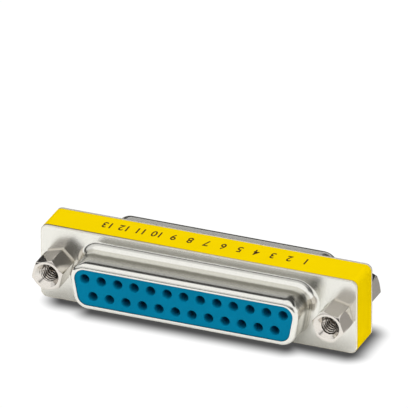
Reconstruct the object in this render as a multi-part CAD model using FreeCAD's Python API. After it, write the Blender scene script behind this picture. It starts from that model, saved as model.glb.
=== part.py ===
import FreeCAD
import Part
import math
import os
from FreeCAD import Vector as V

os.makedirs("parts", exist_ok=True)

# 25-way D-sub gender changer, socket to socket, in a slim moulded frame.
# Row frame: X along the long side, Y front to back (the front face looks along -Y), Z up.
# Origin: centre of the bottom edge it stands on, midway between the two faces. Millimetres.

# ---- driving dimensions -------------------------------------------------------------------
FLANGE_W = 53.04        # flange and frame outline, long side
FLANGE_H = 12.55        # flange and frame outline, short side
CORNER_R = 1.10         # outline corners
SHEET = 0.45            # thickness of the pressed shells
FRAME_D = 5.85          # moulded frame, front to back
SCREW_X = 23.52         # half the jack-screw spacing of 47.04
SHELL_W = 38.38         # D shell outside, widest
SHELL_H = 7.90          # D shell outside, height
SHELL_D = 6.17          # D shell, from the flange face to its front
SHELL_R = 2.60          # D shell outside corners
SIDE_DEG = 10.0         # slope of the D's short sides
ROOT_R = 1.20           # outside radius where the D leaves the flange
NOSE_R = 0.80           # outside radius round the D's front edge
LIP = 0.90              # how far the turned-in front edge reaches, from the outside
HOLE_R = 1.55           # screw holes in the flanges
PITCH = 2.77            # contact pitch along a row
ROW_Z = 1.42            # half the row spacing of 2.84
LEAD_R = 0.78           # contact holes in the insulator's face
LEAD_D = 2.40           # depth of that narrow part
CAVITY_R = 0.97         # contact cavities behind it
FACE_SET = 0.12         # insulator face behind the shell's front edge
BLOCK_W = 40.80         # insulator's back flange
BLOCK_H = 9.40
BLOCK_D = 1.20
BARREL_R = 0.93         # contact barrels
PIN_R = 0.52            # and their bore
POST_AF = 4.76          # jack posts across flats
POST_L = 4.70           # hexagon, from flange to end
POST_BORE_R = 1.13      # 4-40 tapping size
POST_BORE_D = 4.20
SINK_R = 1.95           # countersink at the mouth
STUD_R = 1.12           # post's stud, at the thread's root
STUD_L = 2.60           # reach of the stud inside the frame
SPACER_AF = 4.40        # threaded insert between the studs

AXIS_Z = FLANGE_H / 2.0                 # centre line's height above the bottom
FACE_Y = FRAME_D / 2.0 + SHEET          # outer face of each flange, from mid-depth
NOSE_Y = FACE_Y + SHELL_D               # front of each D shell
TAN = math.tan(math.radians(SIDE_DEG))
SEC = 1.0 / math.cos(math.radians(SIDE_DEG))


def arc(c, r, a0, a1):
    """Arc in an XZ plane about (x, y, z) c, angles in degrees from +X towards +Z."""
    pts = [V(c[0] + r * math.cos(math.radians(a)), c[1], c[2] + r * math.sin(math.radians(a)))
           for a in (a0, (a0 + a1) / 2.0, a1)]
    return Part.Arc(*pts).toShape(), pts[0], pts[2]


def loop(corners, y):
    """Closed wire through rounded corners given as (x, z, r, start angle, end angle)."""
    arcs = [arc((x, y, z), r, a0, a1) for x, z, r, a0, a1 in corners]
    edges = []
    for i, (e, p, q) in enumerate(arcs):
        edges.append(e)
        edges.append(Part.LineSegment(q, arcs[(i + 1) % len(arcs)][1]).toShape())
    return Part.Wire(edges)


def d_solid(inset, y0, y1):
    """D-shaped prism, wide side up, its outline set in from the shell's outside."""
    r = SHELL_R - inset
    h = SHELL_H / 2.0 - inset
    z = h - r
    xt = SHELL_W / 2.0 - inset - r
    # centre of the lower corner lies on the line of centres, parallel to the side
    xb = xt - 2.0 * z * TAN
    w = loop([(xt, z, r, -SIDE_DEG, 90.0), (-xt, z, r, 90.0, 180.0 + SIDE_DEG),
              (-xb, -z, r, 180.0 + SIDE_DEG, 270.0), (xb, -z, r, 270.0, 360.0 - SIDE_DEG)], y0)
    return Part.Face(w).extrude(V(0, y1 - y0, 0))


def plate(w, h, r, y0, y1):
    """Rounded rectangular prism about the centre line."""
    x, z = w / 2.0 - r, h / 2.0 - r
    ring = loop([(x, z, r, 0.0, 90.0), (-x, z, r, 90.0, 180.0),
                 (-x, -z, r, 180.0, 270.0), (x, -z, r, 270.0, 360.0)], y0)
    return Part.Face(ring).extrude(V(0, y1 - y0, 0))


def rod(r, x, z, y0, y1):
    return Part.makeCylinder(r, y1 - y0, V(x, y0, z), V(0, 1, 0))


def cone(r0, r1, x, z, y0, y1):
    return Part.makeCone(r0, r1, y1 - y0, V(x, y0, z), V(0, 1, 0))


def ring_edges(shape, y, xlim, zlim):
    """Edges that lie in the plane y, inside the given box about the centre line."""
    out = []
    for e in shape.Edges:
        b = e.BoundBox
        if abs(b.YMin - y) < 1e-4 and abs(b.YMax - y) < 1e-4:
            if max(abs(b.XMin), abs(b.XMax)) < xlim and max(abs(b.ZMin), abs(b.ZMax)) < zlim:
                out.append(e)
    return out


def placed(shape):
    s = shape.copy()
    s.translate(V(0, 0, AXIS_Z))
    return s


def turned(shape):
    """The same piece at the back: turned half round about the long centre line."""
    s = shape.copy()
    s.rotate(V(0, 0, 0), V(1, 0, 0), 180.0)
    return s


def hexagon(af, deg, x, y0, y1):
    rc = af / 2.0 / math.cos(math.radians(30.0))
    pts = [V(x + rc * math.cos(math.radians(deg + 60 * k)), y0, rc * math.sin(math.radians(deg + 60 * k)))
           for k in range(7)]
    return Part.Face(Part.makePolygon(pts)).extrude(V(0, y1 - y0, 0))


# ---- pressed steel shell, front one, about the centre line ----------------------------------
f, n = -FACE_Y, -NOSE_Y
shell = plate(FLANGE_W, FLANGE_H, CORNER_R, f, f + SHEET).fuse(d_solid(0.0, n, f + SHEET / 2.0))
shell = shell.makeFillet(ROOT_R, ring_edges(shell, f, 19.6, 4.2))
shell = shell.makeFillet(NOSE_R, ring_edges(shell, n, 19.6, 4.2))
inner = d_solid(SHEET, n + SHEET, f + SHEET + 1.0)
inner = inner.makeFillet(NOSE_R - SHEET, ring_edges(inner, n + SHEET, 19.6, 4.2))
shell = shell.cut(inner)
shell = shell.makeFillet(ROOT_R + SHEET, ring_edges(shell, f + SHEET, 19.6, 4.2))
shell = shell.cut(d_solid(LIP, n - 1.0, n + SHEET + 0.5))
for sx in (-SCREW_X, SCREW_X):
    shell = shell.cut(rod(HOLE_R, sx, 0, f - 1.0, f + SHEET + 1.0))
# sheared sheet: a slight break along the flange's front outline
rim = [e for e in shell.Edges if abs(e.BoundBox.YMin - f) < 1e-4 and abs(e.BoundBox.YMax - f) < 1e-4
       and (abs(e.CenterOfMass.z) > 5.2 or abs(e.CenterOfMass.x) > 25.5)]
shell = shell.makeFillet(0.10, rim)

# ---- moulded insulator, front one -----------------------------------------------------------
CONTACTS = [(6 * PITCH - i * PITCH, ROW_Z) for i in range(13)] + \
           [(5.5 * PITCH - i * PITCH, -ROW_Z) for i in range(12)]
face = n + FACE_SET
back = f + SHEET + BLOCK_D
plug = d_solid(LIP + 0.03, face, n + SHEET + 0.5)
plug = plug.makeFillet(0.08, ring_edges(plug, face, 19.6, 4.2))
body = d_solid(SHEET + 0.05, n + SHEET + 0.03, f + SHEET + 0.2)
body = body.makeFillet(0.35, ring_edges(body, n + SHEET + 0.03, 19.6, 4.2))
block = plate(BLOCK_W, BLOCK_H, 1.0, f + SHEET, back)
insulator = plug.fuse(body).fuse(block).removeSplitter()
cutters = []
for x, z in CONTACTS:
    cutters.append(rod(LEAD_R, x, z, face - 1.0, face + LEAD_D + 0.1))
    cutters.append(cone(LEAD_R + 0.14, LEAD_R - 0.02, x, z, face - 0.02, face + 0.14))
    cutters.append(rod(CAVITY_R, x, z, face + LEAD_D, back + 1.0))
for c in cutters:
    insulator = insulator.cut(c)

# ---- moulded frame --------------------------------------------------------------------------
h = FRAME_D / 2.0
frame = plate(FLANGE_W, FLANGE_H, CORNER_R, -h, h)
frame = frame.cut(plate(BLOCK_W + 0.2, BLOCK_H + 0.2, 1.1, -h - 1.0, h + 1.0))
for sx in (-SCREW_X, SCREW_X):
    frame = frame.cut(hexagon(SPACER_AF + 0.06, 30.0, sx, -h - 1.0, h + 1.0))


# ---- socket contacts ------------------------------------------------------------------------
def barrel(x, z, sign):
    """Split socket barrel; sign -1 opens to the front, +1 to the back."""
    y_open = sign * (NOSE_Y - FACE_SET - LEAD_D - 0.08)
    y_shut = sign * (h - BLOCK_D - 0.10)
    lo, hi = min(y_open, y_shut), max(y_open, y_shut)
    b = rod(BARREL_R, x, z, lo, hi)
    depth = 4.6
    if sign < 0:
        b = b.cut(rod(PIN_R, x, z, lo - 1.0, lo + depth))
        b = b.cut(cone(PIN_R + 0.22, PIN_R, x, z, lo - 0.001, lo + 0.22))
        slot = Part.makeBox(2.4, 3.6, 0.16, V(x - 1.2, lo - 0.5, z - 0.08))
    else:
        b = b.cut(rod(PIN_R, x, z, hi - depth, hi + 1.0))
        b = b.cut(cone(PIN_R, PIN_R + 0.22, x, z, hi - 0.22, hi + 0.001))
        slot = Part.makeBox(2.4, 3.6, 0.16, V(x - 1.2, hi - 3.1, z - 0.08))
    return b.cut(slot)


def contact(x, z):
    """Front socket, flat offset tail and back socket; the tail crosses to the other row."""
    t = 0.17
    yb = h - BLOCK_D - 0.30
    yj = 1.40
    zs = 1.0 if z > 0 else -1.0
    d = t * math.tan(math.radians(22.5))
    a = abs(z)
    upper = [(-yb - 0.3, a + t), (-yj + d, a + t), (yj + d, -a + t), (yb + 0.3, -a + t)]
    lower = [(yb + 0.3, -a - t), (yj - d, -a - t), (-yj - d, a - t), (-yb - 0.3, a - t)]
    pts = [V(x - 0.35, y, zs * w) for y, w in upper + lower]
    tail = Part.Face(Part.makePolygon(pts + [pts[0]])).extrude(V(0.70, 0, 0))
    return barrel(x, z, -1).fuse(tail).fuse(barrel(x, -z, 1)).removeSplitter()


# ---- jack posts and the inserts they screw into ---------------------------------------------
def post(x, deg):
    """Front post: chamfered hexagon with a blind tapped hole, stud through the flange."""
    y0, y1 = f - POST_L, f
    rc = POST_AF / 2.0 / math.cos(math.radians(30.0)) + 0.05
    flat = 2.34
    drop = (rc - flat) * math.tan(math.radians(30.0))
    blank = rod(rc, x, 0, y0 + drop, y1 - drop)
    blank = blank.fuse(cone(flat, rc, x, 0, y0, y0 + drop)).fuse(cone(rc, flat, x, 0, y1 - drop, y1))
    p = hexagon(POST_AF, deg, x, y0, y1).common(blank)
    p = p.fuse(rod(STUD_R, x, 0, y1 - 0.3, f + SHEET + STUD_L - 0.25))
    p = p.fuse(cone(STUD_R, STUD_R - 0.25, x, 0, f + SHEET + STUD_L - 0.25, f + SHEET + STUD_L))
    p = p.cut(rod(POST_BORE_R, x, 0, y0 - 1.0, y0 + POST_BORE_D))
    sink = SINK_R - POST_BORE_R
    p = p.cut(cone(SINK_R + 0.1, POST_BORE_R, x, 0, y0 - 0.1, y0 + sink))
    return p.removeSplitter()


def spacer(x):
    s = hexagon(SPACER_AF, 30.0, x, -h + 0.01, h - 0.01)
    return s.cut(rod(POST_BORE_R, x, 0, -h - 1.0, h + 1.0))


parts = {
    "front_shell": shell,
    "rear_shell": turned(shell),
    "frame": frame,
    "front_insulator": insulator,
    "rear_insulator": turned(insulator),
    "front_left_jack_post": post(-SCREW_X, 15.0),
    "front_right_jack_post": post(SCREW_X, 47.0),
    "rear_left_jack_post": turned(post(-SCREW_X, 33.0)),
    "rear_right_jack_post": turned(post(SCREW_X, 17.0)),
    "left_spacer": spacer(-SCREW_X),
    "right_spacer": spacer(SCREW_X),
}
for i, (cx, cz) in enumerate(CONTACTS, 1):
    parts["contact_%02d" % i] = contact(cx, cz)

for name, shape in parts.items():
    shape = placed(shape)
    solids = shape.Solids
    if len(solids) != 1 or not shape.isValid():
        raise RuntimeError("%s: %d solids, valid %s" % (name, len(solids), shape.isValid()))
    solids[0].exportStep("parts/%s.step" % name)
print(len(parts), "pieces")
b = Part.makeCompound([placed(s) for s in parts.values()]).BoundBox
print("box x %.2f %.2f y %.2f %.2f z %.2f %.2f" % (b.XMin, b.XMax, b.YMin, b.YMax, b.ZMin, b.ZMax))
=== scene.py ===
import math

import bmesh
import bpy
import numpy as np
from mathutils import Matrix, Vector


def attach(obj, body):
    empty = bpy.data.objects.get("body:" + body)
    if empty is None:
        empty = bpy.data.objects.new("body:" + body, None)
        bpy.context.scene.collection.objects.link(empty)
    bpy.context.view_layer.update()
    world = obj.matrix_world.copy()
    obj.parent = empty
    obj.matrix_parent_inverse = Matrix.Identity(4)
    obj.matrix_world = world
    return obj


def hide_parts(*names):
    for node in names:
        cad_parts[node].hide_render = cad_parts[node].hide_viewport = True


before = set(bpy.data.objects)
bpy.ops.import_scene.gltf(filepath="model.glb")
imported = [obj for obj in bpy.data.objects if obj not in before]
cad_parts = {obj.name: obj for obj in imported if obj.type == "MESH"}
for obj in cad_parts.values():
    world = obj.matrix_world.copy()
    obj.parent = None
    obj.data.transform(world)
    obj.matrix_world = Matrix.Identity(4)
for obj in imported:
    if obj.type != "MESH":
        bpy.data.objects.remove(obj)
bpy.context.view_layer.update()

# ---- sizes, millimetres, as in the part's own source ----------------------------------------
FLANGE_W, FLANGE_H, CORNER_R, SHEET = 53.04, 12.55, 1.10, 0.45
FRAME_D, SCREW_X = 5.85, 23.52
SHELL_W, SHELL_H, SHELL_D, SHELL_R = 38.38, 7.90, 6.17, 2.60
ROOT_R, NOSE_R, LIP, HOLE_R = 1.20, 0.80, 0.90, 1.55
PITCH, ROW_Z = 2.77, 1.42
LEAD_R, LEAD_D, CAVITY_R, FACE_SET = 0.78, 2.40, 0.97, 0.12
BLOCK_W, BLOCK_H, BLOCK_D = 40.80, 9.40, 1.20
POST_AF, POST_L, BORE_R, BORE_D, SINK_R = 4.76, 4.70, 1.13, 4.20, 1.95
STUD_R, STUD_L, SPACER_AF = 1.12, 2.60, 4.40
THREAD_P, THREAD_R = 0.635, 1.42
AXIS_Z = FLANGE_H / 2
FACE_Y = FRAME_D / 2 + SHEET
NOSE_Y = FACE_Y + SHELL_D
TAN = math.tan(math.radians(10))
ARC = 14          # segments in each 90 degree corner of a loop


# ---- mesh helpers ---------------------------------------------------------------------------
class Build:
    """Collects points and faces of one piece, in millimetres about the part's centre line."""

    def __init__(self):
        self.v, self.f, self.m = [], [], []
        self.finish = 0                                       # material index for the faces added next

    def face(self, ids):
        self.f.append(tuple(ids))
        self.m.append(self.finish)

    def ring(self, pts):
        i0 = len(self.v)
        self.v.extend([tuple(p) for p in pts])
        return list(range(i0, i0 + len(pts)))

    def band(self, a, b, flip=False):
        n = len(a)
        for i in range(n):
            j = (i + 1) % n
            q = (a[i], a[j], b[j], b[i])
            self.face(q[::-1] if flip else q)

    def loft(self, rings, flip=False):
        for a, b in zip(rings, rings[1:]):
            self.band(a, b, flip)

    def cap(self, loop, flip=False):
        self.face(loop[::-1] if flip else loop)

    def plane(self, outer, holes, facing):
        """Fills the flat area between one outer loop and its holes."""
        bm = bmesh.new()
        vs, es = {}, []
        for lp in [outer] + holes:
            for i in lp:
                vs[i] = bm.verts.new(self.v[i])
            for i, j in zip(lp, lp[1:] + lp[:1]):
                es.append(bm.edges.new((vs[i], vs[j])))
        back = {v: i for i, v in vs.items()}
        res = bmesh.ops.triangle_fill(bm, use_beauty=True, use_dissolve=False, edges=es)
        n = Vector(facing)
        for g in res["geom"]:
            if isinstance(g, bmesh.types.BMFace):
                g.normal_update()
                ids = [back[v] for v in g.verts]
                self.face(ids if g.normal.dot(n) > 0 else ids[::-1])
        bm.free()

    def turned(self):
        """The same piece at the back, turned half round about the long centre line."""
        o = Build()
        o.v = [(x, -y, -z) for x, y, z in self.v]
        o.f, o.m = list(self.f), list(self.m)
        return o


def rounded(corners, n=ARC, long_n=1, short_n=1):
    """Closed list of (x, z) points round corners given as (x, z, r, start, end)."""
    pts = []
    k = len(corners)
    for i, (x, z, r, a0, a1) in enumerate(corners):
        for s in range(n + 1):
            a = math.radians(a0 + (a1 - a0) * s / n)
            pts.append((x + r * math.cos(a), z + r * math.sin(a)))
        nx, nz, nr, b0, _ = corners[(i + 1) % k]
        q = (nx + nr * math.cos(math.radians(b0)), nz + nr * math.sin(math.radians(b0)))
        p = pts[-1]
        m = long_n if i % 2 == 0 else short_n
        for s in range(1, m):
            pts.append((p[0] + (q[0] - p[0]) * s / m, p[1] + (q[1] - p[1]) * s / m))
    return pts


def d_loop(inset, y, long_n=24, short_n=4):
    r = SHELL_R - inset
    h = SHELL_H / 2 - inset
    z = h - r
    xt = SHELL_W / 2 - inset - r
    xb = xt - 2 * z * TAN
    c = [(xt, z, r, -10, 90), (-xt, z, r, 90, 190), (-xb, -z, r, 190, 270), (xb, -z, r, 270, 350)]
    return [(x, y, zz) for x, zz in rounded(c, ARC, long_n, short_n)]


def box_loop(w, h, r, y, long_n=24, short_n=6):
    x, z = w / 2 - r, h / 2 - r
    c = [(x, z, r, 0, 90), (-x, z, r, 90, 180), (-x, -z, r, 180, 270), (x, -z, r, 270, 360)]
    return [(px, y, pz) for px, pz in rounded(c, ARC, long_n, short_n)]


def circle(x, z, r, y, n=40):
    return [(x + r * math.cos(2 * math.pi * i / n), y, z + r * math.sin(2 * math.pi * i / n)) for i in range(n)]


def to_object(b, name, sharp=32.0, weighted=True):
    """Mesh object in metres in the row frame, with clean faces and weighted normals."""
    me = bpy.data.meshes.new(name)
    pts = [(x / 1000, y / 1000, (z + AXIS_Z) / 1000) for x, y, z in b.v]
    me.from_pydata(pts, [], b.f)
    me.polygons.foreach_set("material_index", b.m)
    bm = bmesh.new()
    bm.from_mesh(me)
    bmesh.ops.remove_doubles(bm, verts=bm.verts, dist=2e-7)
    bmesh.ops.dissolve_degenerate(bm, edges=bm.edges, dist=1e-7)
    bmesh.ops.recalc_face_normals(bm, faces=bm.faces)
    bm.to_mesh(me)
    bm.free()
    me.shade_smooth()
    me.set_sharp_from_angle(angle=math.radians(sharp))
    ob = bpy.data.objects.new(name, me)
    bpy.context.scene.collection.objects.link(ob)
    if weighted:
        m = ob.modifiers.new("weights", "WEIGHTED_NORMAL")
        m.mode = "FACE_AREA"
        m.weight = 90
        m.keep_sharp = True
        bpy.context.view_layer.update()
        dg = bpy.context.evaluated_depsgraph_get()
        new = bpy.data.meshes.new_from_object(ob.evaluated_get(dg), preserve_all_data_layers=True, depsgraph=dg)
        ob.modifiers.clear()
        ob.data = new
        new.name = name
    return ob


# ---- materials ------------------------------------------------------------------------------
def nodes_of(name):
    m = bpy.data.materials.new(name)
    m.use_nodes = True
    nt = m.node_tree
    bsdf = nt.nodes["Principled BSDF"]
    return m, nt, bsdf


def add(nt, kind, **kw):
    n = nt.nodes.new(kind)
    for k, v in kw.items():
        if k.startswith("in_"):
            n.inputs[k[3:].replace("_", " ")].default_value = v
        else:
            setattr(n, k, v)
    return n


def object_coords(nt, scale=(1000, 1000, 1000)):
    tc = nt.nodes.new("ShaderNodeTexCoord")
    mp = nt.nodes.new("ShaderNodeMapping")
    mp.inputs["Scale"].default_value = scale
    nt.links.new(tc.outputs["Object"], mp.inputs["Vector"])
    return mp.outputs["Vector"]


def noise(nt, vec, scale, detail=3.0, rough=0.5):
    n = nt.nodes.new("ShaderNodeTexNoise")
    n.inputs["Scale"].default_value = scale
    n.inputs["Detail"].default_value = detail
    n.inputs["Roughness"].default_value = rough
    nt.links.new(vec, n.inputs["Vector"])
    return n.outputs["Fac"]


def remap(nt, fac, lo, hi, a=0.3, b=0.7):
    r = nt.nodes.new("ShaderNodeMapRange")
    r.inputs["From Min"].default_value = a
    r.inputs["From Max"].default_value = b
    r.inputs["To Min"].default_value = lo
    r.inputs["To Max"].default_value = hi
    nt.links.new(fac, r.inputs["Value"])
    return r.outputs["Result"]


def axis_ramp(nt, socket, a, b, lo, hi):
    r = nt.nodes.new("ShaderNodeMapRange")
    r.interpolation_type = "SMOOTHSTEP"
    for k, v in (("From Min", a), ("From Max", b), ("To Min", lo), ("To Max", hi)):
        r.inputs[k].default_value = v
    nt.links.new(socket, r.inputs["Value"])
    return r.outputs["Result"]


def blend_colour(nt, fac, c0, c1):
    m = nt.nodes.new("ShaderNodeMix")
    m.data_type = "RGBA"
    m.inputs[6].default_value = (*c0, 1)
    m.inputs[7].default_value = (*c1, 1)
    nt.links.new(fac, m.inputs[0])
    return m.outputs[2]


def bump(nt, height, strength, dist, normal=None):
    b = nt.nodes.new("ShaderNodeBump")
    b.inputs["Strength"].default_value = strength
    b.inputs["Distance"].default_value = dist
    nt.links.new(height, b.inputs["Height"])
    if normal is not None:
        nt.links.new(normal, b.inputs["Normal"])
    return b.outputs["Normal"]


def metal(name, c0, c1, rough=(0.10, 0.2), grain=(1, 1, 1), grain_scale=2.0, grain_bump=0.0001, wave=0.15, painted_wall_shade=None):
    m, nt, p = nodes_of(name)
    p.inputs["Metallic"].default_value = 1.0
    vec = object_coords(nt)
    big = noise(nt, vec, 0.35, 2.0)
    fine = noise(nt, object_coords(nt, tuple(1000 * g for g in grain)), grain_scale, 4.0, 0.6)
    colour = blend_colour(nt, remap(nt, fine, 0.0, 1.0), c0, c1)
    if painted_wall_shade:
        # painted shade: a dark band painted on the shell wall just past the root bend, front and back alike
        sp = nt.nodes.new("ShaderNodeSeparateXYZ")
        nt.links.new(vec, sp.inputs[0])
        depth = nt.nodes.new("ShaderNodeMath")
        depth.operation = "ABSOLUTE"
        nt.links.new(sp.outputs["Y"], depth.inputs[0])
        wob = nt.nodes.new("ShaderNodeMath")
        wob.operation = "MULTIPLY_ADD"
        nt.links.new(noise(nt, vec, 0.9, 3.0), wob.inputs[0])
        wob.inputs[1].default_value = 0.4
        nt.links.new(depth.outputs[0], wob.inputs[2])
        up = axis_ramp(nt, wob.outputs[0], FACE_Y + 2.0, FACE_Y + 2.6, 0.0, 1.0)
        down = axis_ramp(nt, wob.outputs[0], FACE_Y + 2.9, FACE_Y + 4.2, 1.0, 0.0)
        wall_shade_mask = nt.nodes.new("ShaderNodeMath")
        wall_shade_mask.operation = "MULTIPLY"
        nt.links.new(up, wall_shade_mask.inputs[0])
        nt.links.new(down, wall_shade_mask.inputs[1])
        m2 = nt.nodes.new("ShaderNodeMix")
        m2.data_type = "RGBA"
        nt.links.new(wall_shade_mask.outputs[0], m2.inputs[0])
        nt.links.new(colour, m2.inputs[6])
        m2.inputs[7].default_value = (*painted_wall_shade, 1)
        colour = m2.outputs[2]
    nt.links.new(colour, p.inputs["Base Color"])
    dull = remap(nt, fine, rough[0], rough[1])
    if painted_wall_shade:
        # the flat sheet keeps its satin finish, the drawn wall is burnished by the press
        satin = nt.nodes.new("ShaderNodeMath")
        satin.operation = "ADD"
        nt.links.new(dull, satin.inputs[0])
        nt.links.new(axis_ramp(nt, depth.outputs[0], FACE_Y + 0.01, FACE_Y + 0.12, 0.06, 0.0), satin.inputs[1])
        dull = satin.outputs[0]
    nt.links.new(dull, p.inputs["Roughness"])
    n1 = bump(nt, big, wave, 0.0002)
    n2 = bump(nt, fine, 0.25, grain_bump, n1)
    nt.links.new(n2, p.inputs["Normal"])
    return m


def tapped(name, crest, root):
    """Bright thread crests, with shade painted near black into the thread roots; the four holes share one distance
    from the middle.
    """
    m, nt, p = nodes_of(name)
    p.inputs["Metallic"].default_value = 1.0
    vec = object_coords(nt)
    sp = nt.nodes.new("ShaderNodeSeparateXYZ")
    nt.links.new(vec, sp.inputs[0])

    def op(kind, a, b=None):
        n = nt.nodes.new("ShaderNodeMath")
        n.operation = kind
        for i, s in enumerate((a, b)):
            if s is None:
                continue
            if isinstance(s, (int, float)):
                n.inputs[i].default_value = s
            else:
                nt.links.new(s, n.inputs[i])
        return n.outputs[0]

    dx = op("SUBTRACT", op("ABSOLUTE", sp.outputs["X"]), SCREW_X)
    dz = op("SUBTRACT", sp.outputs["Z"], AXIS_Z)
    r = op("SQRT", op("ADD", op("MULTIPLY", dx, dx), op("MULTIPLY", dz, dz)))
    r = op("ADD", r, op("MULTIPLY", noise(nt, vec, 6.0, 3.0), 0.06))
    # painted shade: the colour goes near black in the thread roots
    t = axis_ramp(nt, r, BORE_R + 0.07, BORE_R + 0.16, 0.0, 1.0)
    nt.links.new(blend_colour(nt, t, crest, root), p.inputs["Base Color"])
    nt.links.new(remap(nt, t, 0.14, 0.5, 0.0, 1.0), p.inputs["Roughness"])
    return m


def plastic(name, c0, c1, rough=(0.35, 0.5), scale=6.0, bump_d=0.00002, strength=0.25, coat=0.0, specular=0.5, painted_seam_shade=None):
    m, nt, p = nodes_of(name)
    p.inputs["Specular IOR Level"].default_value = specular
    p.inputs["Coat Weight"].default_value = coat
    p.inputs["Coat Roughness"].default_value = 0.25
    vec = object_coords(nt)
    big = noise(nt, vec, 0.18, 2.0)
    fine = noise(nt, vec, scale, 5.0, 0.6)
    colour = blend_colour(nt, remap(nt, big, 0.0, 1.0), c0, c1)
    if painted_seam_shade:
        # painted shade: a dark line painted where the moulding meets the flanges, most at the left end
        sp = nt.nodes.new("ShaderNodeSeparateXYZ")
        nt.links.new(vec, sp.inputs[0])
        off, t = nt.nodes.new("ShaderNodeMath"), nt.nodes.new("ShaderNodeMath")
        off.operation, t.operation = "ABSOLUTE", "MULTIPLY"
        nt.links.new(sp.outputs["Y"], off.inputs[0])
        nt.links.new(axis_ramp(nt, off.outputs[0], FRAME_D / 2 - 0.17, FRAME_D / 2 - 0.06, 0.0, 1.0), t.inputs[0])
        nt.links.new(axis_ramp(nt, sp.outputs["X"], -24.0, 6.0, 0.9, 0.15), t.inputs[1])
        m2 = nt.nodes.new("ShaderNodeMix")
        m2.data_type = "RGBA"
        nt.links.new(t.outputs[0], m2.inputs[0])
        nt.links.new(colour, m2.inputs[6])
        m2.inputs[7].default_value = (*painted_seam_shade, 1)
        colour = m2.outputs[2]
    nt.links.new(colour, p.inputs["Base Color"])
    nt.links.new(remap(nt, fine, rough[0], rough[1]), p.inputs["Roughness"])
    nt.links.new(bump(nt, fine, strength, bump_d), p.inputs["Normal"])
    return m


# the tin's last colour is the dark band painted as shade on the shell wall
TIN = metal("tin_plate", (0.80, 0.79, 0.74), (0.75, 0.74, 0.69), rough=(0.14, 0.19), grain_scale=3.0,
            grain_bump=0.000002, wave=0.02, painted_wall_shade=(0.34, 0.33, 0.285))
TIN_EDGE = metal("tin_plate_sheared", (0.88, 0.85, 0.76), (0.74, 0.71, 0.62), rough=(0.42, 0.55), grain=(1, 0.3, 1),
                 grain_scale=5.0, grain_bump=0.00001, wave=0.05)
NICKEL = metal("nickel", (0.74, 0.70, 0.65), (0.66, 0.62, 0.57), rough=(0.10, 0.16), grain=(1, 0.15, 1),
               grain_scale=6.0, grain_bump=0.000003, wave=0.04)
NICKEL_BORE_ROOT_SHADE = tapped("nickel_tapped_root_shade", (0.84, 0.79, 0.73), (0.030, 0.020, 0.014))
GOLD = metal("contact_gold", (0.86, 0.62, 0.27), (0.72, 0.48, 0.18), rough=(0.2, 0.35), grain_bump=0.000005)
BRASS = metal("insert_brass", (0.72, 0.55, 0.25), (0.6, 0.43, 0.18), rough=(0.25, 0.4), grain_bump=0.000005)
# the yellow frame gets a dark line of painted shade where it meets the flanges
YELLOW = plastic("yellow_moulding", (0.830, 0.600, 0.0006), (0.800, 0.575, 0.0006), rough=(0.34, 0.46), scale=5.0,
                 bump_d=0.000012, strength=0.2, specular=0.0, painted_seam_shade=(0.10, 0.06, 0.015))
BLUE = plastic("blue_moulding", (0.0004, 0.202, 0.354), (0.0003, 0.188, 0.332), rough=(0.42, 0.55), scale=7.0,
               bump_d=0.00001, strength=0.25, specular=0.02)
INK, nt, p = nodes_of("print_ink")
vec = object_coords(nt)
nt.links.new(blend_colour(nt, remap(nt, noise(nt, vec, 9.0, 4.0), 0, 1), (0.045, 0.020, 0.004), (0.085, 0.042, 0.008)),
             p.inputs["Base Color"])
p.inputs["Roughness"].default_value = 0.45
p.inputs["Specular IOR Level"].default_value = 0.05


def dress(ob, mats, node=None):
    while len(ob.data.materials):
        ob.data.materials.pop()
    for m in (mats if isinstance(mats, tuple) else (mats,)):
        ob.data.materials.append(m)
    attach(ob, "root")
    if node:
        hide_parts(node)
    return ob


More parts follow.
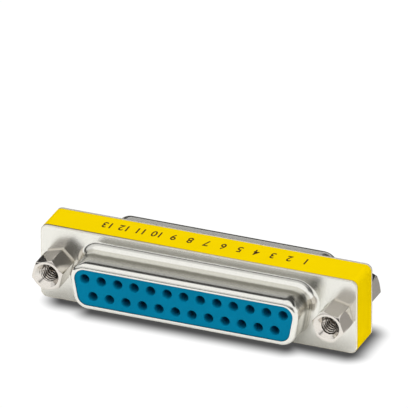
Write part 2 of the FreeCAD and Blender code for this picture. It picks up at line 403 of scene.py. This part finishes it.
# ---- pressed steel shell --------------------------------------------------------------------
def shell_mesh():
    b = Build()
    f, n = -FACE_Y, -NOSE_Y
    prof = []
    k = 12
    for i in range(k + 1):                                    # fillet out of the flange
        t = math.radians(90 * i / k)
        prof.append((-ROOT_R + ROOT_R * math.sin(t), f - ROOT_R + ROOT_R * math.cos(t)))
    r1, r2, t1 = 4.4, 0.76, math.radians(10)                 # the nose: a gentle start, then the tight bend
    end = n + r2 * (1 - math.sin(t1)) + r1 * math.sin(t1)
    for s in (0.33, 0.66):
        prof.append((0.0, (f - ROOT_R) + s * (end - (f - ROOT_R))))
    for i in range(6):
        t = t1 * i / 5
        prof.append((r1 - r1 * math.cos(t), end - r1 * math.sin(t)))
    i1, y1 = prof[-1]
    for i in range(1, k + 1):
        t = t1 + (math.radians(90) - t1) * i / k
        prof.append((i1 + r2 * (math.cos(t1) - math.cos(t)), y1 - r2 * (math.sin(t) - math.sin(t1))))
    e = 0.03
    prof.append((LIP - e, n))
    for i in range(1, 4):
        t = math.radians(30 * i)
        prof.append((LIP - e + e * math.sin(t), n + e - e * math.cos(t)))
    prof.append((LIP, n + SHEET - e))
    prof.append((LIP - e, n + SHEET))
    ri = NOSE_R - SHEET
    for i in range(5):                                        # inside of the nose
        t = math.radians(90 - 90 * i / 4)
        prof.append((NOSE_R - ri * math.cos(t), n + NOSE_R - ri * math.sin(t)))
    ro = ROOT_R + SHEET
    for i in range(7):                                        # inside of the root
        t = math.radians(90 - 90 * i / 6)
        prof.append((-ROOT_R + ro * math.sin(t), f - ROOT_R + ro * math.cos(t)))
    rings = [b.ring(d_loop(i, y)) for i, y in prof]
    b.loft(rings)
    # flange: outer edge with a small break in front and behind
    e1, e2 = 0.16, 0.12
    edge = []
    for i in range(4):
        t = math.radians(30 * i)
        edge.append((e1 - e1 * math.sin(t), f + e1 - e1 * math.cos(t)))
    for i in range(3):
        t = math.radians(45 * i)
        edge.append((e2 - e2 * math.cos(t), f + SHEET - e2 + e2 * math.sin(t)))
    outer = [b.ring(box_loop(FLANGE_W - 2 * i, FLANGE_H - 2 * i, CORNER_R - i, y)) for i, y in edge]
    b.finish = 1                                              # sheared edge, rougher than the rolled faces
    b.loft(outer)
    b.finish = 0
    holes_f, holes_b = [], []
    for sx in (-SCREW_X, SCREW_X):
        h = [b.ring(circle(sx, 0, r, y)) for r, y in
             ((HOLE_R + 0.06, f), (HOLE_R, f + 0.06), (HOLE_R, f + SHEET))]
        b.loft(h)
        holes_f.append(h[0])
        holes_b.append(h[-1])
    # the ring order is front outline -> ... -> back outline; edge[0] is inset by e1 at the front face
    b.plane(outer[0], [rings[0]] + holes_f, (0, -1, 0))
    b.plane(outer[-1], [rings[-1]] + holes_b, (0, 1, 0))
    return b


# ---- insulator ------------------------------------------------------------------------------
CONTACTS = [(6 * PITCH - i * PITCH, ROW_Z) for i in range(13)] + \
           [(5.5 * PITCH - i * PITCH, -ROW_Z) for i in range(12)]


def insulator_mesh():
    b = Build()
    f, n = -FACE_Y, -NOSE_Y
    face = n + FACE_SET
    back = f + SHEET + BLOCK_D
    i0 = LIP + 0.03
    i1 = SHEET + 0.05
    step = n + SHEET + 0.03
    prof = [(i0 + 0.08, face), (i0 + 0.045, face + 0.012), (i0 + 0.012, face + 0.045), (i0, face + 0.08), (i0, step),
            (i1 + 0.35, step), (i1 + 0.10, step + 0.10), (i1, step + 0.35), (i1, f + SHEET)]
    rings = [b.ring(d_loop(i, y)) for i, y in prof]
    b.loft(rings)
    block = [b.ring(box_loop(BLOCK_W, BLOCK_H, 1.0, y)) for y in (f + SHEET, back)]
    b.loft(block)
    b.plane(block[0], [rings[-1]], (0, -1, 0))
    front_holes, back_holes = [], []
    for x, z in CONTACTS:
        c = [b.ring(circle(x, z, r, y, 36)) for r, y in
             ((LEAD_R + 0.15, face), (LEAD_R + 0.085, face + 0.02), (LEAD_R + 0.02, face + 0.09),
              (LEAD_R, face + 0.18), (LEAD_R, face + LEAD_D), (CAVITY_R, face + LEAD_D), (CAVITY_R, back))]
        b.loft(c)
        front_holes.append(c[0])
        back_holes.append(c[-1])
    b.plane(rings[0], front_holes, (0, -1, 0))
    b.plane(block[1], back_holes, (0, 1, 0))
    return b


# ---- moulded frame --------------------------------------------------------------------------
def hex_loop(x, af, deg, y, r=0.08, n=3, flats=6):
    """Hexagon with rounded corners, (x, y, z) points."""
    rc = (af / 2 - r) / math.cos(math.radians(30))
    pts = []
    for k in range(6):
        a = deg + 60 * k
        cx, cz = rc * math.cos(math.radians(a)), rc * math.sin(math.radians(a))
        for s in range(n + 1):
            t = math.radians(a - 30 + 60 * s / n)
            pts.append((x + cx + r * math.cos(t), cz + r * math.sin(t)))
        a2 = deg + 60 * (k + 1)
        nx, nz = rc * math.cos(math.radians(a2)), rc * math.sin(math.radians(a2))
        t = math.radians(a + 30)
        p, q = pts[-1], (x + nx + r * math.cos(t), nz + r * math.sin(t))
        for s in range(1, flats):
            pts.append((p[0] + (q[0] - p[0]) * s / flats, p[1] + (q[1] - p[1]) * s / flats))
    return [(px, y, pz) for px, pz in pts]


def frame_mesh():
    b = Build()
    h = FRAME_D / 2
    e = 0.10
    prof = []
    for i in range(4):
        t = math.radians(30 * i)
        prof.append((e - e * math.sin(t), -h + e - e * math.cos(t)))
    for i in range(1, 6):
        prof.append((0.0, -h + e + (2 * h - 2 * e) * i / 6))
    for i in range(4):
        t = math.radians(30 * i)
        prof.append((e - e * math.cos(t), h - e + e * math.sin(t)))
    rings = [b.ring(box_loop(FLANGE_W - 2 * i, FLANGE_H - 2 * i, CORNER_R - i, y)) for i, y in prof]
    b.loft(rings)
    win = [b.ring(box_loop(BLOCK_W + 0.2, BLOCK_H + 0.2, 1.1, y)) for y in (-h, h)]
    b.loft(win)
    fr, bk = [win[0]], [win[1]]
    for sx in (-SCREW_X, SCREW_X):
        p = [b.ring(hex_loop(sx, SPACER_AF + 0.06, 30, y)) for y in (-h, h)]
        b.loft(p)
        fr.append(p[0])
        bk.append(p[1])
    b.plane(rings[0], fr, (0, -1, 0))
    b.plane(rings[-1], bk, (0, 1, 0))
    return b


# ---- jack post ------------------------------------------------------------------------------
def post_mesh(x, deg, twist=0.0):
    b = Build()
    y0, y1 = -FACE_Y - POST_L, -FACE_Y
    flat = 2.34
    tan30 = math.tan(math.radians(30))
    hexa = hex_loop(x, POST_AF, deg, 0, r=0.07, n=3, flats=10)
    ang = [math.atan2(p[2], p[0] - x) for p in hexa]
    rad = [math.hypot(p[0] - x, p[2]) for p in hexa]
    n = len(hexa)

    def ring(rfun, yfun):
        return b.ring([(x + rfun(i) * math.cos(ang[i]), yfun(i), rfun(i) * math.sin(ang[i])) for i in range(n)])

    drop = [(r - flat) * tan30 for r in rad]
    e = 0.035
    rings = [
        ring(lambda i: flat - e, lambda i: y0),
        ring(lambda i: flat - e * 0.3, lambda i: y0 + e * 0.12),
        ring(lambda i: flat + e, lambda i: y0 + e * tan30),
        ring(lambda i: (flat + rad[i]) / 2, lambda i: y0 + drop[i] / 2),
        ring(lambda i: rad[i] - e * 0.8, lambda i: y0 + drop[i] - e * 0.5),
        ring(lambda i: rad[i], lambda i: y0 + drop[i] + e * 0.9),
        ring(lambda i: rad[i], lambda i: (y0 + y1) / 2),
        ring(lambda i: rad[i], lambda i: y1 - 0.46),
        ring(lambda i: rad[i] - 0.012, lambda i: y1 - 0.42),
        ring(lambda i: rad[i] - 0.20, lambda i: y1 - 0.09),
        ring(lambda i: rad[i] - 0.25, lambda i: y1 - 0.03),
        ring(lambda i: rad[i] - 0.32, lambda i: y1),
    ]
    b.loft(rings)
    stud = [b.ring(circle(x, 0, r, y, n)) for r, y in
            ((STUD_R, y1), (STUD_R, -FRAME_D / 2 + STUD_L - 0.25), (STUD_R - 0.25, -FRAME_D / 2 + STUD_L))]
    b.loft(stud)
    b.plane(rings[-1], [stud[0]], (0, 1, 0))
    b.cap(stud[-1], True)
    # bore: countersink, then the thread as one helical surface
    m = 96
    length = BORE_D
    rows = 110
    flank = math.tan(math.radians(60))
    grid = []
    for j in range(rows + 1):
        y = length * j / rows
        pts = []
        for i in range(m):
            a = 2 * math.pi * i / m
            u = (y / THREAD_P + a / (2 * math.pi) + twist) % 1.0
            d = abs(u - 0.5) * THREAD_P                       # distance from the root line
            r = THREAD_R - max(0.0, d - 0.04) * flank
            r = max(BORE_R, r)
            if y > length - 0.45:
                r = BORE_R
            r = max(r, SINK_R + 0.02 - y) if y < 1.0 else r
            pts.append((x + r * math.cos(a), y0 + y, r * math.sin(a)))
        grid.append(b.ring(pts))
    deep = next(j for j in range(rows + 1) if length * j / rows > 0.66)
    b.loft(grid[:deep + 1], True)
    b.finish = 1
    b.loft(grid[deep:], True)
    tip = b.ring([(x, y0 + length + 0.5, 0)])[0]
    last = grid[-1]
    for i in range(m):
        b.face((last[i], last[(i + 1) % m], tip))
    b.finish = 0
    b.plane(rings[0], [grid[0]], (0, -1, 0))
    return b


pieces = []
sm = shell_mesh()
im = insulator_mesh()
for tag, turn in (("front", False), ("rear", True)):
    ob = to_object(sm.turned() if turn else sm, tag + "_shell_pressing")
    pieces.append(dress(ob, (TIN, TIN_EDGE), tag + "_shell"))
    ob = to_object(im.turned() if turn else im, tag + "_insulator_moulding")
    pieces.append(dress(ob, BLUE, tag + "_insulator"))
ob = to_object(frame_mesh(), "frame_moulding")
pieces.append(dress(ob, YELLOW, "frame"))
for tag, x, deg, turn, tw in (("front_left", -SCREW_X, 15.0, False, 0.15), ("front_right", SCREW_X, 47.0, False, 0.6),
                              ("rear_left", -SCREW_X, 33.0, True, 0.3), ("rear_right", SCREW_X, 17.0, True, 0.8)):
    m = post_mesh(x, deg, tw)
    ob = to_object(m.turned() if turn else m, tag + "_post", sharp=40)
    pieces.append(dress(ob, (NICKEL, NICKEL_BORE_ROOT_SHADE), tag + "_jack_post"))

for name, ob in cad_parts.items():
    if name.startswith("contact_"):
        mat = GOLD
    elif name.endswith("_spacer"):
        mat = BRASS
    else:
        continue
    ob.data.materials.clear()
    ob.data.materials.append(mat)

# ---- plain position numbers printed on the frame's top --------------------------------------
TOP = FLANGE_H / 2


def printed(text, size, x, y, name, extra=0.0):
    cu = bpy.data.curves.new(name, "FONT")
    cu.body = text
    cu.size = size
    cu.align_x = "CENTER"
    cu.align_y = "CENTER"
    cu.offset = extra
    cu.extrude = 0.004
    cu.resolution_u = 6
    ob = bpy.data.objects.new(name, cu)
    bpy.context.scene.collection.objects.link(ob)
    bpy.context.view_layer.update()
    dg = bpy.context.evaluated_depsgraph_get()
    me = bpy.data.meshes.new_from_object(ob.evaluated_get(dg))
    bpy.data.objects.remove(ob)
    co = np.zeros(len(me.vertices) * 3)
    me.vertices.foreach_get("co", co)
    co = co.reshape(-1, 3)
    out = np.empty_like(co)
    out[:, 0] = (x - 0.78 * co[:, 0]) / 1000                        # read from the back
    out[:, 1] = (y - co[:, 1]) / 1000
    out[:, 2] = (TOP + AXIS_Z + co[:, 2] - 0.0005) / 1000
    me.vertices.foreach_set("co", out.ravel())
    me.update()
    return me


def join_meshes(meshes, name):
    bm = bmesh.new()
    for me in meshes:
        bm.from_mesh(me)
    bmesh.ops.remove_doubles(bm, verts=bm.verts, dist=1e-7)
    out = bpy.data.meshes.new(name)
    bm.to_mesh(out)
    bm.free()
    ob = bpy.data.objects.new(name, out)
    bpy.context.scene.collection.objects.link(ob)
    return ob


marks = [printed(str(i + 1), 2.5, CONTACTS[i][0], 0.30, "n%d" % i, 0.045) for i in range(13)]
ob = join_meshes(marks, "position_numbers")
pieces.append(dress(ob, INK))

# ---- floor, light and camera ----------------------------------------------------------------
def plane_object(name, size, z):
    bm = bmesh.new()
    bmesh.ops.create_grid(bm, x_segments=8, y_segments=8, size=size)
    me = bpy.data.meshes.new(name)
    bm.to_mesh(me)
    bm.free()
    ob = bpy.data.objects.new(name, me)
    ob.location = (0, 0, z)
    bpy.context.scene.collection.objects.link(ob)
    return ob


# the white sweep the object stands on: it glows, with a soft contact shadow painted into the glow round the object's
# footprint
def math_node(nt, op, a, b=None, c=None):
    n = nt.nodes.new("ShaderNodeMath")
    n.operation = op
    for i, s in enumerate((a, b, c)):
        if s is None:
            continue
        if isinstance(s, (int, float)):
            n.inputs[i].default_value = s
        else:
            nt.links.new(s, n.inputs[i])
    return n.outputs[0]


def box_distance(nt, x, y, cx, hx, hy, r):
    """Signed distance, in metres, to a rounded rectangle on the floor."""
    qx = math_node(nt, "SUBTRACT", math_node(nt, "ABSOLUTE", math_node(nt, "SUBTRACT", x, cx)), hx - r)
    qy = math_node(nt, "SUBTRACT", math_node(nt, "ABSOLUTE", y), hy - r)
    ox, oy = math_node(nt, "MAXIMUM", qx, 0.0), math_node(nt, "MAXIMUM", qy, 0.0)
    out = math_node(nt, "SQRT", math_node(nt, "ADD", math_node(nt, "MULTIPLY", ox, ox), math_node(nt, "MULTIPLY", oy, oy)))
    return math_node(nt, "SUBTRACT", math_node(nt, "ADD", out, math_node(nt, "MINIMUM", math_node(nt, "MAXIMUM", qx, qy), 0.0)), r)


floor = plane_object("floor", 4.0, -0.00001)
fm, nt, p = nodes_of("floor_white_painted_shadow")
vec = object_coords(nt, (1, 1, 1))
sp = nt.nodes.new("ShaderNodeSeparateXYZ")
nt.links.new(vec, sp.inputs[0])
flange_foot = box_distance(nt, sp.outputs["X"], sp.outputs["Y"], 0.0014, 0.0262, 0.0058, 0.0025)
shell_foot = box_distance(nt, sp.outputs["X"], sp.outputs["Y"], -0.0007, 0.0183, 0.00735, 0.0022)
away = math_node(nt, "SMOOTH_MIN", flange_foot, shell_foot, 0.0012)
# painted shadow: the glow drops to 0.08 close to the footprint and rises to 1.03 away from it
painted_contact_shadow = axis_ramp(nt, math_node(nt, "MULTIPLY", away, 1000.0), -1.8, 2.2, 0.08, 1.03)
grain = remap(nt, noise(nt, vec, 3.0), 0.998, 1.002)
nt.links.new(math_node(nt, "MULTIPLY", painted_contact_shadow, grain), p.inputs["Emission Strength"])
p.inputs["Emission Color"].default_value = (1, 1, 1, 1)
p.inputs["Base Color"].default_value = (0, 0, 0, 1)
p.inputs["Roughness"].default_value = 0.9
p.inputs["Specular IOR Level"].default_value = 0.0
floor.data.materials.append(fm)
floor.visible_glossy = False
floor.visible_diffuse = False
floor.visible_shadow = False
# what the bright metal mirrors of it: the same sweep, with the light falloff behind the object painted into its colour
# as shade
mirror = plane_object("floor_mirrored", 4.0, -0.00003)
mm, nt, p = nodes_of("floor_painted_falloff")
vec = object_coords(nt, (1, 1, 1))
sp = nt.nodes.new("ShaderNodeSeparateXYZ")
nt.links.new(vec, sp.inputs[0])
nt.links.new(blend_colour(nt, axis_ramp(nt, sp.outputs["Y"], 0.004, 0.018, 0.0, 1.0), (0.95, 0.95, 0.94), (0.33, 0.32, 0.305)),
             p.inputs["Base Color"])
p.inputs["Roughness"].default_value = 0.9
p.inputs["Specular IOR Level"].default_value = 0.0
p.inputs["Emission Color"].default_value = (1, 1, 1, 1)
# painted light: a faint glow lifts what the metal mirrors of this floor
p.inputs["Emission Strength"].default_value = 0.05
mirror.data.materials.append(mm)
mirror.visible_camera = False
mirror.visible_shadow = False

sc = bpy.context.scene
AZ, EL = math.radians(22.1), math.radians(26.9)
back = Vector((math.sin(AZ) * math.cos(EL), -math.cos(AZ) * math.cos(EL), math.sin(EL)))

world = bpy.data.worlds.new("studio")
sc.world = world
world.use_nodes = True
nt = world.node_tree
bg = nt.nodes["Background"]
tc = nt.nodes.new("ShaderNodeTexCoord")
sep = nt.nodes.new("ShaderNodeSeparateXYZ")
nt.links.new(tc.outputs["Generated"], sep.inputs[0])
WX, WY, WZ = sep.outputs["X"], sep.outputs["Y"], sep.outputs["Z"]


def calc(op, a, b):
    n = nt.nodes.new("ShaderNodeMath")
    n.operation = op
    for i, s in enumerate((a, b)):
        if isinstance(s, (int, float)):
            n.inputs[i].default_value = s
        else:
            nt.links.new(s, n.inputs[i])
    return n.outputs[0]


def lerp(a, b, t):
    n = nt.nodes.new("ShaderNodeMix")
    n.data_type = "FLOAT"
    for i, s in ((0, t), (2, a), (3, b)):
        if isinstance(s, (int, float)):
            n.inputs[i].default_value = s
        else:
            nt.links.new(s, n.inputs[i])
    return n.outputs[0]


def elev(deg):
    return math.sin(math.radians(deg))


TOP_L, DARK_L, SIDE_L = 1.12, 0.03, 1.10
dot = nt.nodes.new("ShaderNodeVectorMath")
dot.operation = "DOT_PRODUCT"
dot.inputs[1].default_value = (math.cos(AZ), math.sin(AZ), 0.0)
nt.links.new(tc.outputs["Generated"], dot.inputs[0])
# the darker shape of the camera and its stand, in the grey front of the studio
aside = dot.outputs["Value"]
lens = calc("MULTIPLY", axis_ramp(nt, aside, -0.17, -0.08, 0.0, 1.0), axis_ramp(nt, aside, 0.36, 0.46, 1.0, 0.0))
lens = calc("MULTIPLY", lens, axis_ramp(nt, WZ, elev(30), elev(40), 1.0, 0.0))
front = axis_ramp(nt, WX, -0.7, 0.1, 0.80, 0.52)
front = calc("MULTIPLY", front, axis_ramp(nt, WZ, 0.0, elev(32), 0.9, 1.1))
front = lerp(front, TOP_L, axis_ramp(nt, WZ, elev(33), elev(45), 0.0, 1.0))
front = lerp(front, 0.15, lens)
gap = calc("MULTIPLY", axis_ramp(nt, WZ, elev(9), elev(13), 1.0, 0.0), axis_ramp(nt, WX, 0.25, 0.5, 1.0, 0.0))
front = lerp(front, 0.04, gap)
low = calc("MULTIPLY", axis_ramp(nt, WZ, elev(16), elev(20), 0.0, 1.0), axis_ramp(nt, WZ, elev(28.5), elev(30.5), 1.0, 0.0))
low = calc("MULTIPLY", low, 0.55)
behind = calc("ADD", low, axis_ramp(nt, WZ, elev(45), elev(50), DARK_L, TOP_L))
level = lerp(front, behind, axis_ramp(nt, WY, -0.05, 0.30, 0.0, 1.0))
level = lerp(level, SIDE_L, axis_ramp(nt, WX, 0.62, 0.80, 0.0, 1.0))
nt.links.new(level, bg.inputs["Color"])
bg.inputs["Strength"].default_value = 1.0

# broad overhead fill for the matt surfaces; the bright metal mirrors the studio alone
li = bpy.data.lights.new("overhead_fill", "SUN")
li.angle = math.radians(70)
li.energy = 1.0
fill = bpy.data.objects.new("overhead_fill", li)
fill.rotation_mode = "QUATERNION"
fill.rotation_quaternion = Vector((-0.15, 0.25, -1.0)).to_track_quat("-Z", "Y")
fill.visible_glossy = False
sc.collection.objects.link(fill)

sc.view_settings.view_transform = "Standard"
sc.view_settings.look = "None"
sc.view_settings.exposure = 0.0
sc.view_settings.gamma = 1.0

cam_data = bpy.data.cameras.new("camera")
cam = bpy.data.objects.new("camera", cam_data)
sc.collection.objects.link(cam)
sc.camera = cam
SCALE = 6.43                                   # pixels of the 408 frame per millimetre
LENS = 1400.0
cam_data.sensor_fit = "HORIZONTAL"
cam_data.sensor_width = 36.0
cam_data.lens = LENS
right = Vector((math.cos(AZ), math.sin(AZ), 0))
up = Vector((-math.sin(AZ) * math.sin(EL), math.cos(AZ) * math.sin(EL), math.cos(EL)))
dist = (408 / SCALE) / 36.0 * LENS / 1000
px, py = 198.05, 289.1                         # where the front flange's centre shows
centre = Vector((0, -FACE_Y / 1000, AXIS_Z / 1000))
centre = centre + right * ((204 - px) / SCALE / 1000) + up * ((py - 204) / SCALE / 1000)
cam.location = centre + back * dist
cam.rotation_mode = "QUATERNION"
cam.rotation_quaternion = (-back).to_track_quat("-Z", "Y")
cam_data.clip_start, cam_data.clip_end = 0.01, 20.0
